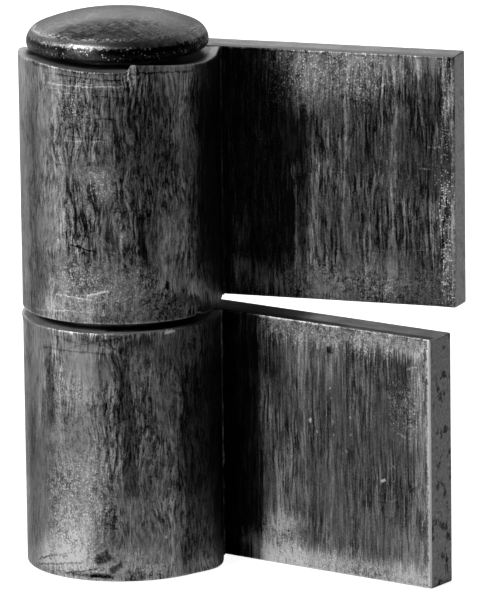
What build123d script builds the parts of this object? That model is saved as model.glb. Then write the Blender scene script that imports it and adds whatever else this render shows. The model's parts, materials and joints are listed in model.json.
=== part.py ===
from build123d import *
import os
from math import asin, atan2, cos, degrees, hypot, radians, sin

# A weld on barrel hinge. Two leaves of hot-rolled plate are each rolled round at one end
# into a knuckle, and the knuckles stand one above the other on a headed pin, with a thrust
# washer between them. The pin's foot is plug welded into the lower knuckle, and the upper
# leaf turns on it.
# Millimetres. +Z is up along the pin, and Z = 0 is the underside of the lower knuckle.
# The lower leaf points along +X, and its weld face looks along +Y.

# ---- driving sizes ----
plate_thickness = 6.0
knuckle_height = 40.0
leaf_reach = 52.0            # from the pin's axis to a leaf's outer end
leaf_angle = 17.5            # the upper leaf is turned this far from the lower one

pin_diameter = 19.0
running_clearance = 0.1      # round the pin, in a knuckle or the washer
seam_gap = 0.2               # between the rolled end and the front of its own leaf
upper_straight_end = 6.0     # last stretch of the upper roll, left straight by the rolls
lower_straight_end = 0.6     # the same on the lower roll, which closed rounder

edge_break = 0.35            # sheared edges of the plate, top and bottom
leaf_end_round = 0.5         # upright edges at a leaf's outer end

washer_thickness = 1.4
washer_width = 2.4           # of the ring, from its bore to its rim
washer_edge_chamfer = 0.2

head_diameter = 28.6
head_clearance = 1.1         # from the upper knuckle to the underside of the head
head_height = 6.0
crown_radius = 34.0
head_shoulder_round = 1.7
head_rim_chamfer = 0.6
head_neck_chamfer = 0.5      # where the shank runs into the head

plug_weld_depth = 2.0        # countersink in the lower knuckle, filled with weld
plug_weld_spread = 1.8
weld_line = 0.05             # kept between the weld and the plate, which are two solids

# ---- sizes that follow ----
pin_radius = pin_diameter / 2
bore_radius = pin_radius + running_clearance
barrel_radius = bore_radius + plate_thickness
upper_leaf_base = knuckle_height + washer_thickness
head_underside = upper_leaf_base + knuckle_height + head_clearance


def polar_point(radius, angle):
    """A point at a radius from the pin's axis, and at an angle in degrees from the leaf."""
    return (radius * cos(radians(angle)), radius * sin(radians(angle)))


def last_bend_angle(straight_end):
    """The angle where the roll stops bending, so that its straight end just misses the leaf.

    The end's outer corner lies on a circle of its own round the pin, and a seam's width
    short of the plane of the leaf's front.
    """
    corner_radius = hypot(barrel_radius, straight_end)
    corner_angle = asin((bore_radius - seam_gap) / corner_radius)
    return degrees(corner_angle - atan2(straight_end, barrel_radius))


def rolled_section(straight_end):
    """A leaf and its knuckle seen from above: one strip of plate bent round the bore."""
    last_bend = last_bend_angle(straight_end)
    bend_sweep = 270 + last_bend
    end_run = Vector(*polar_point(straight_end, last_bend + 90))
    outer_bend_end = Vector(*polar_point(barrel_radius, last_bend))
    inner_bend_end = Vector(*polar_point(bore_radius, last_bend))
    outer_corner = outer_bend_end + end_run
    inner_corner = inner_bend_end + end_run
    with BuildSketch() as section:
        with BuildLine():
            Line((0, barrel_radius), (leaf_reach, barrel_radius))
            Line((leaf_reach, barrel_radius), (leaf_reach, bore_radius))
            Line((leaf_reach, bore_radius), (0, bore_radius))
            CenterArc((0, 0), bore_radius, 90, bend_sweep)
            Polyline(inner_bend_end, inner_corner, outer_corner, outer_bend_end)
            CenterArc((0, 0), barrel_radius, 90, bend_sweep)
        make_face()
        leaf_end = section.vertices().group_by(Axis.X)[-1]
        fillet(leaf_end, leaf_end_round)
    return section.sketch


def rolled_leaf(straight_end):
    """One leaf with its knuckle, standing on Z = 0, its sheared edges broken."""
    with BuildPart() as leaf:
        add(rolled_section(straight_end))
        extrude(amount=knuckle_height)
        sheared_faces = leaf.faces().filter_by(Axis.Z)
        chamfer(sheared_faces.edges(), edge_break)
    return leaf.part


def plug_weld(clearance):
    """The cone of the plug weld, or with no clearance of the countersink that it fills."""
    mouth_radius = bore_radius + plug_weld_spread - clearance
    cone = Cone(mouth_radius, bore_radius - clearance, plug_weld_depth)
    return Pos(0, 0, plug_weld_depth / 2) * cone


def lower_leaf():
    """The fixed leaf, countersunk underneath for the plug weld."""
    return rolled_leaf(lower_straight_end) - plug_weld(0)


def upper_leaf():
    """The swinging leaf, which stands on the washer."""
    return Pos(0, 0, upper_leaf_base) * Rot(0, 0, leaf_angle) * rolled_leaf(upper_straight_end)


def pin_head():
    """The forged head: a low crown on a short wall, rounded above and broken below."""
    head_radius = head_diameter / 2
    crown_centre = head_height - crown_radius
    wall_height = crown_centre + (crown_radius**2 - head_radius**2) ** 0.5
    with BuildPart() as head:
        with BuildSketch(Plane.XZ) as profile:
            with BuildLine():
                Polyline((0, head_height), (0, 0), (head_radius, 0), (head_radius, wall_height))
                RadiusArc((head_radius, wall_height), (0, head_height), -crown_radius)
            make_face()
            rim = profile.vertices().sort_by_distance((head_radius, 0))[0]
            chamfer(rim, head_rim_chamfer)
            shoulder = profile.vertices().sort_by_distance((head_radius, wall_height))[0]
            fillet(shoulder, head_shoulder_round)
        revolve(axis=Axis.Z)
    return Pos(0, 0, head_underside) * head.part


def hinge_pin():
    """The pin in one piece: shank, head, and the weld at its foot."""
    shank_length = head_underside
    shank = Cylinder(pin_radius, shank_length, align=(Align.CENTER, Align.CENTER, Align.MIN))
    pin = shank + pin_head() + plug_weld(weld_line)
    neck = pin.edges().filter_by(GeomType.CIRCLE).filter_by_position(Axis.Z, head_underside, head_underside)
    return chamfer(neck.sort_by(SortBy.RADIUS)[0], head_neck_chamfer)


def thrust_washer():
    """The flat washer that carries the upper knuckle."""
    disc = Cylinder(bore_radius + washer_width, washer_thickness)
    rims = disc.edges().filter_by(GeomType.CIRCLE)
    disc = chamfer(rims, washer_edge_chamfer)
    ring = disc - Cylinder(bore_radius, washer_thickness)
    return Pos(0, 0, knuckle_height + washer_thickness / 2) * ring


pieces = {
    "lower_leaf": lower_leaf(),
    "upper_leaf": upper_leaf(),
    "hinge_pin": hinge_pin(),
    "thrust_washer": thrust_washer(),
}

os.makedirs("parts", exist_ok=True)
for name, piece in pieces.items():
    export_step(piece, f"parts/{name}.step")
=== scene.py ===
import json
from collections import namedtuple
from math import asin, atan2, cos, hypot, pi, radians, sin, tan

import bmesh
import bpy
from bpy.props import FloatProperty, FloatVectorProperty, PointerProperty
from mathutils import Matrix, Vector, noise


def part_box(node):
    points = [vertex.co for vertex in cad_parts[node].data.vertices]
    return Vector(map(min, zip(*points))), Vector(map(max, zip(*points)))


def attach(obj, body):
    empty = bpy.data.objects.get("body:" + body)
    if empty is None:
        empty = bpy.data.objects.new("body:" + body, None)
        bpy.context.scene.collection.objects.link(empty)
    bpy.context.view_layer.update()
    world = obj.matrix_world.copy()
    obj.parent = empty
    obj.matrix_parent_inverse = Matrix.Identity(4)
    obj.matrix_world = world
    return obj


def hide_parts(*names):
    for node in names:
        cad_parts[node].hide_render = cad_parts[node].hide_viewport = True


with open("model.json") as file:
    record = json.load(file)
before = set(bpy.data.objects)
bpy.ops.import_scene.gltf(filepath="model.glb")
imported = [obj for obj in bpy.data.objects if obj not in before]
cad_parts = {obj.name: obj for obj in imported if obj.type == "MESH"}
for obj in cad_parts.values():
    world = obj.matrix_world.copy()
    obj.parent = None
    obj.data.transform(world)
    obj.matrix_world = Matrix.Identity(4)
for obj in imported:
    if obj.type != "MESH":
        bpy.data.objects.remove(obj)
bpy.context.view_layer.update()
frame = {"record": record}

bl_info = {
    "name": "Weld On Barrel Hinge",
    "version": (1, 0, 0),
    "blender": (4, 5, 0),
    "location": "View3D > Sidebar > Hinge",
    "description": "Brushed black steel leaves, forged pin and washer of a weld on barrel hinge",
    "category": "Object",
}

MM = 0.001
SHARP_ANGLE = radians(40)

# How close two places are, in metres, when they count as one.
ON_PLANE = 1e-7
SAME_PLACE = 1e-6
ON_RING = 1e-5


# ---- settings ----
def size(name, description, default):
    return FloatProperty(name=name, description=description, default=default,
                         unit="LENGTH", subtype="DISTANCE", precision=5)


def share(name, description, default):
    return FloatProperty(name=name, description=description, default=default,
                         min=0.0, max=1.0, subtype="FACTOR")


def watts(name, description, default):
    return FloatProperty(name=name, description=description, default=default, unit="POWER")


def angle(name, description, default_degrees):
    return FloatProperty(name=name, description=description, default=radians(default_degrees),
                         unit="ROTATION", subtype="ANGLE")


def grey(name, description, level):
    return FloatVectorProperty(name=name, description=description, default=(level,) * 3,
                               size=3, min=0.0, max=1.0, subtype="COLOR")


class LeafSettings(bpy.types.PropertyGroup):
    """Sizes of the flat bar that each leaf and its knuckle are rolled from."""
    plate_thickness: size("Plate thickness", "Thickness of the bar", 6.0 * MM)
    seam_gap: size("Seam gap", "Between the rolled end and its own leaf", 0.2 * MM)
    upper_straight_end: size("Upper straight end", "Unbent last stretch of the upper roll", 6.0 * MM)
    lower_straight_end: size("Lower straight end", "Unbent last stretch of the lower roll", 0.6 * MM)
    edge_break: size("Edge break", "Rounding of the cut edges, top and bottom", 0.2 * MM)
    end_round: size("End round", "Rounding of the upright edges at the leaf's end", 0.45 * MM)
    mesh_step: size("Mesh step", "Spacing of the mesh along the bar", 0.5 * MM)
    dent_depth: size("Dent depth", "How far the rolled faces waver", 0.04 * MM)
    rim_wear: size("Rim wear", "How far the cut edges waver", 0.04 * MM)
    end_burr: size("End burr", "How far the roll's sheared end is turned up", 0.28 * MM)


class PinSettings(bpy.types.PropertyGroup):
    """Sizes of the headed pin, and of the washer between the knuckles."""
    shank_diameter: size("Shank diameter", "Diameter of the pin's shank", 19.0 * MM)
    head_height: size("Head height", "From the head's underside to its crown", 6.0 * MM)
    crown_radius: size("Crown radius", "Radius of the domed top", 34.0 * MM)
    shoulder_round: size("Shoulder round", "Rounding between crown and wall", 2.5 * MM)
    rim_break: size("Rim break", "Rounding under the head", 0.9 * MM)
    neck: size("Neck", "Chamfer where the shank runs into the head", 0.5 * MM)
    weld_depth: size("Weld depth", "Depth of the plug weld at the pin's foot", 2.0 * MM)
    weld_spread: size("Weld spread", "How much wider the plug weld is than the pin", 1.85 * MM)
    washer_gap: size("Washer gap", "Running clearance of the washer on the pin", 0.1 * MM)
    washer_round: size("Washer round", "Rounding of the washer's edges", 0.2 * MM)
    forging_wave: size("Forging wave", "How far the forged head wavers", 0.05 * MM)


class FinishSettings(bpy.types.PropertyGroup):
    """Colours and roughness of the steel."""
    bare_steel: grey("Bare steel", "Steel brushed through to the metal", 0.95)
    mill_scale: grey("Mill scale", "Black scale left in the hollows", 0.004)
    steel_roughness: share("Steel roughness", "Roughness of brushed steel", 0.42)
    scale_roughness: share("Scale roughness", "Roughness of mill scale", 0.50)
    crown_roughness: share("Crown roughness", "Roughness of the pin's forged head", 0.33)


class StageSettings(bpy.types.PropertyGroup):
    """Camera, lamps and floor."""
    camera_azimuth: angle("Camera azimuth", "Where the camera stands, round the pin", 36.35)
    camera_distance: size("Camera distance", "From the pin to the camera, along the floor", 1169.3 * MM)
    camera_height: size("Camera height", "Height of the camera", 312.4 * MM)
    aim_aside: size("Aim aside", "How far right of the pin the camera aims", 18.64 * MM)
    aim_height: size("Aim height", "How high the camera aims", 41.3 * MM)
    camera_roll: angle("Camera roll", "Turn of the camera about its own line of sight", -0.74)
    lens: FloatProperty(name="Lens", description="Focal length in millimetres", default=455.7)
    key_azimuth: angle("Key azimuth", "Where the key lamp stands, round the pin", -16.0)
    key_elevation: angle("Key elevation", "How high the key lamp stands", 30.0)
    key_distance: size("Key distance", "From the hinge to the key lamp", 1.0)
    key_width: size("Key width", "Width of the key lamp", 0.22)
    key_length: size("Key length", "Length of the key lamp", 0.5)
    key_power: watts("Key power", "Power of the key lamp", 7.0)
    back_azimuth: angle("Back azimuth", "Where the lamp behind stands, round the pin", 222)
    back_elevation: angle("Back elevation", "How high the lamp behind stands", 36)
    back_distance: size("Back distance", "From the hinge to the lamp behind", 1.2)
    back_width: size("Back width", "Width and length of the lamp behind", 0.8)
    back_power: watts("Back power", "Power of the lamp behind", 6.0)
    lamp_aim: size("Lamp aim", "Height on the hinge that the lamps look at", 45 * MM)
    room_light: share("Room light", "Even light of the room", 0.03)
    room_behind: share("Room behind", "Light of the room behind the hinge, in reflections", 0.25)
    floor_colour: grey("Floor colour", "Colour of the floor", 0.80)
    floor_glow: share("Floor glow", "How far the floor fades to white", 0.95)
    floor_radius: size("Floor radius", "Radius of the floor", 0.9)
    floor_drop: size("Floor drop", "How far the floor lies under the hinge", 0.05 * MM)


# ---- mesh helpers ----
def finished_piece(name, bm, materials):
    """An object at the origin made from a bmesh in metres, with its materials in slot order."""
    bmesh.ops.recalc_face_normals(bm, faces=bm.faces)
    for face in bm.faces:
        face.smooth = True
    mesh = bpy.data.meshes.new(name)
    bm.to_mesh(mesh)
    bm.free()
    mesh.set_sharp_from_angle(angle=SHARP_ANGLE)
    for material in materials:
        mesh.materials.append(material)
    piece = bpy.data.objects.new(name, mesh)
    bpy.context.scene.collection.objects.link(piece)
    return piece


def cut_across(bm, axis, places):
    """Adds a loop of edges at each place along X, Y or Z, given as 0, 1 or 2."""
    direction = Vector([float(i == axis) for i in range(3)])
    for place in places:
        bmesh.ops.bisect_plane(bm, geom=bm.verts[:] + bm.edges[:] + bm.faces[:], dist=ON_PLANE,
                               plane_co=direction * place, plane_no=direction)


def round_edges(bm, edges, radius, segments=3):
    """Rounds edges that stand square to their faces."""
    bmesh.ops.bevel(bm, geom=edges, offset=radius, offset_type="OFFSET", segments=segments,
                    profile=0.5, affect="EDGES", material=-1)


def lump(place, spacing, seed):
    """Smooth noise from -1 to 1, with lumps of about the given spacing."""
    return noise.noise(Vector((place[0] / spacing, place[1] / spacing, seed)))


def smooth_step(value, low, high):
    """0 below low, 1 above high, and a smooth rise between."""
    t = min(max((value - low) / (high - low), 0.0), 1.0)
    return t * t * (3 - 2 * t)


# ---- the rolled leaves ----
Roll = namedtuple("Roll", "bore_radius barrel_radius reach height bent_length straight_end")
# A burr on the bar's top or bottom rim, in mm: where it starts and ends, along from the pin's
# axis; how far its metal is lifted and pushed outward; how far inward it reaches, and how it fades.
Burr = namedtuple("Burr", "on_top start end lift outward inward fade_in fade_out")

# Finishes of the bar's faces, in the order of a leaf's materials.
OUTSIDE, INSIDE, CUT, CROPPED = range(4)

# Loops of edges close behind each rim, and how far the rows between lie apart, in mesh steps.
RIM_LOOPS = [depth * MM for depth in (0.6, 0.9, 1.3, 1.8)]
ROW_STEPS = 1.6
# A face looks along an axis when its normal's part along it is more than this.
LOOKS_ALONG = 0.9
# The burr at the roll's end: its root, past the end's rounding, and how far in it reaches.
BURR_ROOT = 0.1 * MM
BURR_DEPTH = 0.6 * MM
# How far from the rims the wear of the cut edges is felt.
WORN_DEPTH = 8 * MM

UPPER_BURRS = (
    Burr(True, -57.8, -55.4, -0.2, 0.3, 3, 1, 0.6),
    Burr(True, -71, -55.4, 1.25, 0, 0.8, 15, 0.5),
    Burr(True, -52, -22, 0.75, 0, 6.5, 14, 6),
    Burr(False, -68.9, -67, 0.5, 0, 1.2, 0.5, 0.5),
    Burr(False, 48, 53, -0.4, 0, 7, 4, 0.5),
)
LOWER_BURRS = (
    Burr(False, -83, -70, 0, 0.9, 9, 7, 6),
    Burr(True, -67.6, -65.6, 0.35, 0, 0.7, 0.5, 0.5),
    Burr(True, -40, -28, 0.3, 0.2, 3, 5, 4),
)


def roll_sizes(node, straight_end, leaf):
    """Sizes of one leaf, from the frame and from the bar that it is rolled from."""
    low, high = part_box(node)
    reach, barrel_radius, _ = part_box("lower_leaf")[1]
    bore_radius = barrel_radius - leaf.plate_thickness
    corner_angle = asin((bore_radius - leaf.seam_gap) / hypot(barrel_radius, straight_end))
    sweep = 1.5 * pi + corner_angle - atan2(straight_end, barrel_radius)
    return Roll(bore_radius, barrel_radius, reach, high.z - low.z, sweep * barrel_radius, straight_end)


def leaf_turn(node):
    """How far a leaf is turned about the pin, from its weld face in the record."""
    mounts = {mount["name"]: mount for mount in frame["record"]["mounts"]}
    outward = mounts[node.replace("leaf", "weld_face")]["axis"]
    return atan2(-outward[0], outward[1])


def bar_start(roll):
    """Where the bar starts, along it from the pin's axis, measured on its outside."""
    return -(roll.bent_length + roll.straight_end)


def flat_bar(roll, leaf):
    """The bar before it is rolled: X along it, Y from its bore side out, Z up, edges rounded."""
    start = bar_start(roll)
    bar_length = roll.reach - start
    bm = bmesh.new()
    bmesh.ops.create_cube(bm, size=1.0)
    bmesh.ops.scale(bm, vec=(bar_length, leaf.plate_thickness, roll.height), verts=bm.verts)
    middle = ((start + roll.reach) / 2, (roll.bore_radius + roll.barrel_radius) / 2, roll.height / 2)
    bmesh.ops.translate(bm, vec=middle, verts=bm.verts)

    along = [edge for edge in bm.edges if abs(edge.verts[0].co.x - edge.verts[1].co.x) > roll.reach]
    cuts = round(bar_length / leaf.mesh_step) - 1
    bmesh.ops.subdivide_edges(bm, edges=along, cuts=cuts, use_grid_fill=True)
    cut_across(bm, 1, [roll.barrel_radius - depth for depth in RIM_LOOPS])
    cut_across(bm, 1, [roll.bore_radius + depth for depth in RIM_LOOPS])
    cut_across(bm, 2, RIM_LOOPS + [roll.height - depth for depth in RIM_LOOPS])
    cut_across(bm, 0, [start + leaf.end_round + BURR_ROOT])
    rows = round(roll.height / (ROW_STEPS * leaf.mesh_step))
    cut_across(bm, 2, [roll.height * row / rows for row in range(3, rows - 2)])

    def on_corner(vert):
        at_outside = roll.barrel_radius - vert.co.y < SAME_PLACE
        at_leaf_end = vert.co.x > roll.reach - SAME_PLACE
        return at_outside and vert.co.x < start + SAME_PLACE or at_leaf_end and (
            at_outside or vert.co.y - roll.bore_radius < SAME_PLACE)

    corners = [edge for edge in bm.edges if all(on_corner(vert) for vert in edge.verts)
               and abs(edge.verts[0].co.z - edge.verts[1].co.z) > SAME_PLACE]
    round_edges(bm, corners, leaf.end_round)
    rims = [edge for edge in bm.edges if edge.is_manifold
            and sum(abs(face.normal.z) > LOOKS_ALONG for face in edge.link_faces) == 1]
    round_edges(bm, rims, leaf.edge_break)
    return bm


def mark_finishes(bm, roll):
    """Gives each face of the flat bar the number of its finish."""
    middle = (roll.bore_radius + roll.barrel_radius) / 2
    for face in bm.faces:
        face.normal_update()
        if abs(face.normal.z) > LOOKS_ALONG:
            face.material_index = CUT
        elif abs(face.normal.x) > LOOKS_ALONG:
            face.material_index = CROPPED
        else:
            face.material_index = OUTSIDE if face.calc_center_median().y > middle else INSIDE


def lay_map(bm):
    """Maps the bar's faces flat, in metres: along it and up, along and across, or across and up."""
    layer = bm.loops.layers.uv.new("flat_bar")
    for face in bm.faces:
        for loop in face.loops:
            x, y, z = loop.vert.co
            loop[layer].uv = {CUT: (x, y), CROPPED: (y, z)}.get(face.material_index, (x, z))


def waver(bm, roll, leaf, seed):
    """Gives the faces and cut edges the slight unevenness of hot-rolled bar, never outwards."""
    for vert in bm.verts:
        x, y, z = vert.co
        across = (y - roll.bore_radius) / leaf.plate_thickness * 2 - 1
        side = seed + (3 if across > 0 else 0)
        unevenness = 0.7 * lump((x, z), 7 * MM, side) + 0.3 * lump((x, z), 1.6 * MM, side + 1)
        vert.co.y -= across * leaf.dent_depth * max(0.6 + unevenness, 0.0)
        upward = z / roll.height * 2 - 1
        near_rim = smooth_step(abs(upward), 1 - WORN_DEPTH / roll.height, 1.0)
        worn = 0.6 * lump((x, y * 0.4), 9 * MM, seed + 11) + 0.4 * lump((x, y), 1.3 * MM, seed + 17)
        vert.co.z -= upward * near_rim * leaf.rim_wear * max(0.7 + worn, 0.0)


def turn_up_end(bm, roll, leaf, seed):
    """Turns up a fine ragged burr along the outside corner of the roll's sheared end."""
    burr_end = bar_start(roll) + leaf.end_round + BURR_ROOT / 2
    for vert in bm.verts:
        if vert.co.x < burr_end and vert.co.y > roll.barrel_radius - BURR_DEPTH:
            ragged = 0.8 + 1.2 * lump((vert.co.z, 0), 2.5 * MM, seed)
            vert.co.y += leaf.end_burr * min(max(ragged, 0.1), 1.0)


def raise_burrs(bm, roll, burrs):
    """Pushes the rims of the barrel up or down, and outwards, where the burrs say."""
    for vert in bm.verts:
        for burr in burrs:
            from_rim = roll.height - vert.co.z if burr.on_top else vert.co.z
            from_outside = (roll.barrel_radius - vert.co.y) / MM
            along = vert.co.x / MM
            part = smooth_step(along, burr.start, burr.start + burr.fade_in)
            part *= smooth_step(-along, -burr.end, -burr.end + burr.fade_out)
            part *= max(1 - from_outside / burr.inward, 0.0)
            reach = 2.5 * abs(burr.lift) * MM + 3 * abs(burr.outward) * MM
            part *= max(1 - from_rim / reach, 0.0)
            vert.co.z += burr.lift * MM * part
            vert.co.y += burr.outward * MM * part


def roll_up(bm, roll):
    """Bends the bar back round the pin from X = 0, counter-clockwise, but not its last stretch."""
    for vert in bm.verts:
        travel = -vert.co.x
        if travel <= 0:
            continue
        bent = min(travel, roll.bent_length)
        around = pi / 2 + bent / roll.barrel_radius
        radius = vert.co.y
        vert.co.x = radius * cos(around) - (travel - bent) * sin(around)
        vert.co.y = radius * sin(around) + (travel - bent) * cos(around)


def rolled_leaf(node, roll, seed, burrs, materials):
    """One leaf with its knuckle, rolled from bar, in its place on the pin."""
    leaf = bpy.context.scene.hinge_leaf
    bm = flat_bar(roll, leaf)
    mark_finishes(bm, roll)
    waver(bm, roll, leaf, seed)
    lay_map(bm)
    turn_up_end(bm, roll, leaf, seed)
    raise_burrs(bm, roll, burrs)
    roll_up(bm, roll)
    place = Matrix.Translation((0, 0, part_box(node)[0].z)) @ Matrix.Rotation(leaf_turn(node), 4, "Z")
    bmesh.ops.transform(bm, matrix=place, verts=bm.verts)
    return finished_piece(node + "_rolled", bm, materials)


# ---- the pin and the washer ----
CROWN_STEPS = 8         # from the crown's top to its edge
PIN_STEPS = 128         # once round
WASHER_STEPS = 96


def add_wire(bm, first, points):
    """Joins a vertex by edges to each (radius, height) point in turn."""
    for radius, height in points:
        vert = bm.verts.new((radius, 0, height))
        bm.edges.new((first, vert))
        first = vert
    return first


def spin_round(bm, steps):
    """Turns the wire about the pin's axis into a closed skin."""
    bmesh.ops.spin(bm, geom=bm.verts[:] + bm.edges[:], cent=(0, 0, 0), axis=(0, 0, 1), angle=2 * pi,
                   steps=steps, use_merge=True)
    bmesh.ops.remove_doubles(bm, verts=bm.verts, dist=SAME_PLACE)


def ring_edges(bm, radius, height):
    """The edges of the turned skin that run round it at a radius and height."""
    def there(vert):
        return abs(hypot(vert.co.x, vert.co.y) - radius) < ON_RING and abs(vert.co.z - height) < ON_RING
    return [edge for edge in bm.edges if all(there(vert) for vert in edge.verts)]


def forged_pin(materials):
    """The headed pin with the plug weld at its foot."""
    pin = bpy.context.scene.hinge_pin
    crown_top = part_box("hinge_pin")[1].z
    head_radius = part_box("hinge_pin")[1].x
    shank_radius = pin.shank_diameter / 2
    underside = crown_top - pin.head_height
    crown_sweep = asin(head_radius / pin.crown_radius)
    wall_top = crown_top - pin.crown_radius * (1 - cos(crown_sweep))

    bm = bmesh.new()
    top = bm.verts.new((0, 0, crown_top))
    crown = bmesh.ops.spin(bm, geom=[top], cent=(0, 0, crown_top - pin.crown_radius), axis=(0, 1, 0),
                           angle=crown_sweep, steps=CROWN_STEPS)
    shoulder = next(item for item in crown["geom_last"] if isinstance(item, bmesh.types.BMVert))
    add_wire(bm, shoulder, [
        (head_radius, underside),
        (shank_radius + pin.neck, underside),
        (shank_radius, underside - pin.neck),
        (shank_radius, pin.weld_depth),
        (shank_radius + pin.weld_spread, 0),
        (0, 0),
    ])
    spin_round(bm, PIN_STEPS)
    crown_corner = pi / 2 + crown_sweep
    shoulder_offset = pin.shoulder_round / tan(crown_corner / 2)
    round_edges(bm, ring_edges(bm, head_radius, wall_top), shoulder_offset, segments=8)
    round_edges(bm, ring_edges(bm, head_radius, underside), pin.rim_break, segments=4)
    middle = Vector((0, 0, crown_top - 2 * pin.head_height))
    for vert in bm.verts:
        if vert.co.z > underside + SAME_PLACE:
            x, y, z = vert.co
            wave = 0.7 * lump((x, y), 6 * MM, 41 + z / (4 * MM))
            wave += 0.3 * lump((x, y), 1.8 * MM, 57 + z / (2 * MM))
            shrink = pin.forging_wave * max(0.5 + wave, 0.0)
            vert.co -= (vert.co - middle).normalized() * shrink
    for face in bm.faces:
        height = face.calc_center_median().z
        face.material_index = 0 if height > underside - SAME_PLACE else 1
    return finished_piece("hinge_pin_forged", bm, materials)


def turned_washer(materials):
    """The flat washer between the knuckles, its edges rounded."""
    pin = bpy.context.scene.hinge_pin
    low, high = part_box("thrust_washer")
    bore = pin.shank_diameter / 2 + pin.washer_gap
    bm = bmesh.new()
    first = bm.verts.new((bore, 0, low.z))
    last = add_wire(bm, first, [(high.x, low.z), (high.x, high.z), (bore, high.z)])
    bm.edges.new((last, first))
    spin_round(bm, WASHER_STEPS)
    rims = ring_edges(bm, high.x, low.z) + ring_edges(bm, high.x, high.z)
    round_edges(bm, rims, pin.washer_round)
    return finished_piece("thrust_washer_turned", bm, materials)


# ---- node helpers ----
class NodeSheet:
    """One node tree, with short ways to add a node and to wire or set its inputs."""

    def __init__(self, tree):
        self.tree = tree

    def connect(self, value, socket):
        if isinstance(value, bpy.types.NodeSocket):
            self.tree.links.new(value, socket)
        else:
            socket.default_value = value

    def add(self, kind, inputs=(), **settings):
        node = self.tree.nodes.new("ShaderNode" + kind)
        for name, value in settings.items():
            setattr(node, name, value)
        for name, value in dict(inputs).items():
            self.connect(value, node.inputs[name])
        return node

    def math(self, operation, *values):
        return self.add("Math", enumerate(values), operation=operation).outputs[0]

    def vector(self, operation, *values):
        return self.add("VectorMath", enumerate(values), operation=operation).outputs[0]

    def rise(self, value, low, high, start=0.0, end=1.0):
        """A smooth step from start, at low, to end, at high."""
        inputs = {"Value": value, "From Min": low, "From Max": high, "To Min": start, "To Max": end}
        return self.add("MapRange", inputs, interpolation_type="SMOOTHSTEP").outputs["Result"]

    def lumps(self, x, y, across, along, seed):
        """A place counted in lumps of a size across and along, on the seed's own layer."""
        return self.join(self.math("DIVIDE", x, across), self.math("DIVIDE", y, along), seed)

    def noise(self, place, detail, rough, stretch=None, output="Fac"):
        """Noise at a place, which may be stretched first: more of it makes the lumps smaller."""
        if stretch:
            place = self.vector("MULTIPLY", place, stretch)
        inputs = {"Vector": place, "Scale": 1.0, "Detail": detail, "Roughness": rough}
        return self.add("TexNoise", inputs, noise_dimensions="3D").outputs[output]

    def swing(self, level, amount):
        """A noise level, taken about its middle, as a change of tone."""
        return self.math("MULTIPLY", self.math("SUBTRACT", level, 0.5), amount)

    def facing(self, vector, direction):
        """How far a vector points in a direction."""
        node = self.add("VectorMath", {0: vector, 1: direction}, operation="DOT_PRODUCT")
        return node.outputs["Value"]

    def part(self, vector, axis):
        """A vector's X, Y or Z part, given as 0, 1 or 2."""
        return self.facing(vector, [float(i == axis) for i in range(3)])

    def along_and_up(self, place):
        return self.part(place, 0), self.part(place, 1)

    def join(self, x, y, z=0.0):
        return self.add("CombineXYZ", {"X": x, "Y": y, "Z": z}).outputs[0]

    def mix(self, factor, first, second):
        inputs = {0: factor, 2: first, 3: second}
        return self.add("Mix", inputs, data_type="FLOAT").outputs[0]

    def mix_colour(self, factor, first, second):
        node = self.add("Mix", data_type="RGBA")
        for number, value in {0: factor, 6: first, 7: second}.items():
            self.connect(value, node.inputs[number])
        return node.outputs[2]

    def use(self, group, **inputs):
        """Places a group; its inputs are named with _ for a space."""
        node = self.add("Group")
        node.node_tree = group
        for name, value in inputs.items():
            self.connect(value, node.inputs[name.replace("_", " ")])
        return node.outputs[0]


def open_group(name, vectors, values):
    """A new node group with named inputs: its sheet, and the sockets that bring them in."""
    tree = bpy.data.node_groups.new(name, "ShaderNodeTree")
    for socket in vectors:
        tree.interface.new_socket(socket, in_out="INPUT", socket_type="NodeSocketVector")
    for socket in values:
        tree.interface.new_socket(socket, in_out="INPUT", socket_type="NodeSocketFloat")
    return NodeSheet(tree), tree.nodes.new("NodeGroupInput").outputs


def close_group(sheet, name, value, socket_type="NodeSocketFloat"):
    """Gives a node group its one output."""
    sheet.tree.interface.new_socket(name, in_out="OUTPUT", socket_type=socket_type)
    sheet.tree.links.new(value, sheet.tree.nodes.new("NodeGroupOutput").inputs[name])
    return sheet.tree


def bent_place_group():
    """Bends the place sideways, widely and then finely, so that streaks wander."""
    sheet, given = open_group("Bent place", ("Place",), ("Wander", "Seed"))
    x, y = sheet.along_and_up(given["Place"])
    wide_place = sheet.lumps(x, y, 4.0, 10.0, given["Seed"])
    fine_place = sheet.lumps(x, y, 2.4, 1.5, given["Seed"])
    wide_bend = sheet.swing(sheet.noise(wide_place, 1.0, 0.6), 4.0)
    fine_bend = sheet.swing(sheet.noise(fine_place, 1.0, 0.6), 0.2)
    bend = sheet.math("MULTIPLY", sheet.math("ADD", wide_bend, fine_bend), given["Wander"])
    bent = sheet.vector("ADD", given["Place"], sheet.join(bend, 0.0))
    return close_group(sheet, "Place", bent, "NodeSocketVector")


def brush_marks_group():
    """Streaks up the bar, as a coarse belt leaves them: 0 deep in scale, 1 brushed bare."""
    sheet, given = open_group("Brush marks", ("Place",), ("Across", "Along", "Seed"))
    x, y = sheet.along_and_up(given["Place"])
    place = sheet.lumps(x, y, given["Across"], given["Along"], given["Seed"])
    level = sheet.noise(place, 3.0, 0.65)
    return close_group(sheet, "Level", level)


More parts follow.
